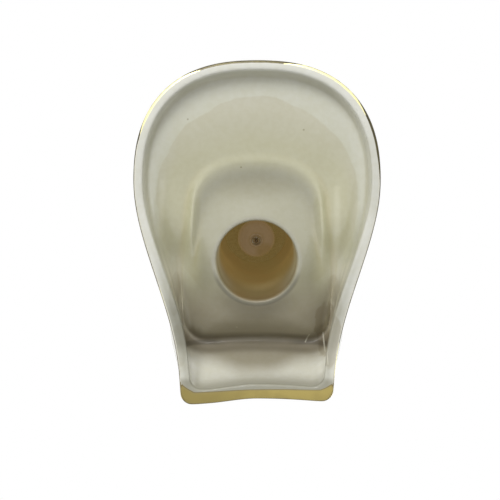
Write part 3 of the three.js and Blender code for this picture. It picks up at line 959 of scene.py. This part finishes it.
def studio_floor():
    """White floor that shows a soft shadow from above and is clear from below."""
    floor = Finish("studio_floor")
    away = floor.vector("LENGTH", floor.place).rise(*FLOOR_SHADOW_EDGE)
    white = floor.node("ShaderNodeEmission", {}, {"Color": (1, 1, 1, 1), "Strength": 1.0})
    paper = floor.node("ShaderNodeBsdfDiffuse", {}, {"Color": (0.9, 0.9, 0.9, 1)})
    share = floor.light_rays() * (1 - FLOOR_SHADOW_SHARE + away * FLOOR_SHADOW_SHARE)
    top = floor.node("ShaderNodeMixShader", {}, {0: share, 1: paper, 2: white})
    below = floor.node("ShaderNodeNewGeometry", output="Backfacing")
    clear = floor.node("ShaderNodeBsdfTransparent")
    return floor.close(floor.node("ShaderNodeMixShader", {}, {0: below, 1: top, 2: clear}))


def white_surround(level):
    """World that shows white and lights the bell at a plain level."""
    surround = Finish("white_surround", "worlds", "ShaderNodeOutputWorld")
    white = (1, 1, 1, 1)
    lit = surround.node("ShaderNodeBackground", {}, {"Color": white, "Strength": level})
    shown = surround.node("ShaderNodeBackground", {}, {"Color": white, "Strength": 1.0})
    share = surround.light_rays()
    return surround.close(surround.node("ShaderNodeMixShader", {}, {0: share, 1: lit, 2: shown}))


# Operators


class BELL_OT_casting(bpy.types.Operator):
    """Glazed and gilded porcelain casting"""

    bl_idname = "bell.casting"
    bl_label = "Porcelain casting"

    def execute(self, context):
        settings = context.scene.bell_porcelain
        body = merged_copy("bell_body", "porcelain_casting")
        mark_inside(body.data)
        smooth(body, settings.smooth_levels)
        trim_front(body.data, settings.front_trim)
        mark_gilding(body.data, settings)
        mark_hollows(body.data)
        finish_piece(body, glazed_porcelain(settings), "bell", "bell_body")
        return {"FINISHED"}


class BELL_OT_hanging(bpy.types.Operator):
    """Cement, anchor eye, link and the clapper's wire"""

    bl_idname = "bell.hanging"
    bl_label = "Hanging"

    def execute(self, context):
        settings = context.scene.bell_clapper
        steel = drawn_wire(settings)
        for node, name, body in (
            ("anchor_eye", "anchor_wire_eye", "bell"),
            ("hanger_link", "hanger_ring", "link"),
            ("clapper_wire", "clapper_stem", "clapper"),
        ):
            wire = merged_copy(node, name)
            smooth(wire, 2)
            finish_piece(wire, steel, body, node)
        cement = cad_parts["crown_cement"]
        cement.data.materials.clear()
        cement.data.materials.append(set_cement(settings))
        return {"FINISHED"}


class BELL_OT_bead(bpy.types.Operator):
    """Glass bead and the crimped collar under it"""

    bl_idname = "bell.bead"
    bl_label = "Bead and stop"

    def execute(self, context):
        settings = context.scene.bell_clapper
        bead = merged_copy("clapper_bead", "glass_bead")
        smooth(bead, 2)
        finish_piece(bead, milky_glass(settings), "clapper", "clapper_bead")
        stop = merged_copy("bead_stop", "crimped_stop")
        smooth(stop, 1)
        # The stop's wire with a painted glow.
        crimped = drawn_wire(settings, "crimped_wire", settings.stop_glow)
        finish_piece(stop, crimped, "clapper", "bead_stop")
        return {"FINISHED"}


FLOOR_SIZE = 4
FLOOR_DROP = 0.1 * MM
SENSOR_WIDTH = 36
NEAREST_VIEW = 0.01
LAMP_TARGET = Vector((0, 0, 0.04))


class BELL_OT_studio(bpy.types.Operator):
    """Camera, lamps, white surround and floor"""

    bl_idname = "bell.studio"
    bl_label = "Studio"

    def execute(self, context):
        settings = context.scene.bell_studio
        self.set_camera(context, settings)
        self.set_lamps(context, settings)
        self.set_floor(context)
        context.scene.world = white_surround(settings.surround)
        context.scene.view_settings.view_transform = "Standard"
        return {"FINISHED"}

    def set_camera(self, context, settings):
        forward = Vector((0, -math.sin(settings.tilt), math.cos(settings.tilt)))
        up = Vector((0, math.cos(settings.tilt), math.sin(settings.tilt)))
        right = forward.cross(up)
        bpy.ops.object.camera_add()
        camera = context.object
        place = Vector(settings.aim) - forward * settings.distance - right * settings.sideways
        turn = Matrix((right, up, -forward)).transposed()
        camera.matrix_world = Matrix.Translation(place) @ turn.to_4x4()
        camera.data.lens = settings.lens
        camera.data.sensor_width = SENSOR_WIDTH
        camera.data.clip_start = NEAREST_VIEW
        context.scene.camera = camera

    def set_lamps(self, context, settings):
        for name, place, size, power in (
            ("mouth_lamp", (0.10, 0.40, -0.50), 0.20, settings.mouth_lamp),
            ("key_lamp", (-0.55, -0.45, 0.65), 0.5, settings.outside_lamp),
            ("fill_lamp", (0.65, -0.25, 0.4), 0.5, settings.outside_lamp * 0.5),
            ("back_lamp", (0.15, 0.7, 0.5), 0.5, settings.outside_lamp * 0.7),
        ):
            turn = (Vector(place) - LAMP_TARGET).to_track_quat("Z", "Y").to_euler()
            bpy.ops.object.light_add(type="AREA", location=place, rotation=turn)
            lamp = context.object
            lamp.name = name
            lamp.data.size = size
            lamp.data.energy = power
            lamp.visible_camera = False

    def set_floor(self, context):
        bpy.ops.mesh.primitive_plane_add(size=FLOOR_SIZE, location=(0, 0, -FLOOR_DROP))
        floor = context.object
        floor.name = "studio_floor"
        floor.data.materials.append(studio_floor())
        for kind in ("diffuse", "glossy", "transmission", "shadow"):
            setattr(floor, "visible_" + kind, False)


class BELL_PT_panel(bpy.types.Panel):
    """The bell's settings and steps"""

    bl_label = "Porcelain bell"
    bl_idname = "BELL_PT_panel"
    bl_space_type = "VIEW_3D"
    bl_region_type = "UI"
    bl_category = "Bell"

    def draw(self, context):
        for group in SETTINGS:
            box = self.layout.box()
            settings = getattr(context.scene, group)
            for key in settings.bl_rna.properties.keys():
                if key not in ("rna_type", "name"):
                    box.prop(settings, key)
        for step in STEPS:
            self.layout.operator(step.bl_idname)


SETTINGS = {
    "bell_porcelain": PorcelainSettings,
    "bell_clapper": ClapperSettings,
    "bell_studio": StudioSettings,
}
STEPS = (BELL_OT_casting, BELL_OT_hanging, BELL_OT_bead, BELL_OT_studio)


def register():
    for kind in (*SETTINGS.values(), *STEPS, BELL_PT_panel):
        bpy.utils.register_class(kind)
    for name, kind in SETTINGS.items():
        setattr(bpy.types.Scene, name, bpy.props.PointerProperty(type=kind))


def unregister():
    for name in SETTINGS:
        delattr(bpy.types.Scene, name)
    for kind in (BELL_PT_panel, *reversed(STEPS), *SETTINGS.values()):
        bpy.utils.unregister_class(kind)


def main():
    register()
    bpy.ops.bell.casting()
    bpy.ops.bell.hanging()
    bpy.ops.bell.bead()
    bpy.ops.bell.studio()


if __name__ == "__main__":
    main()
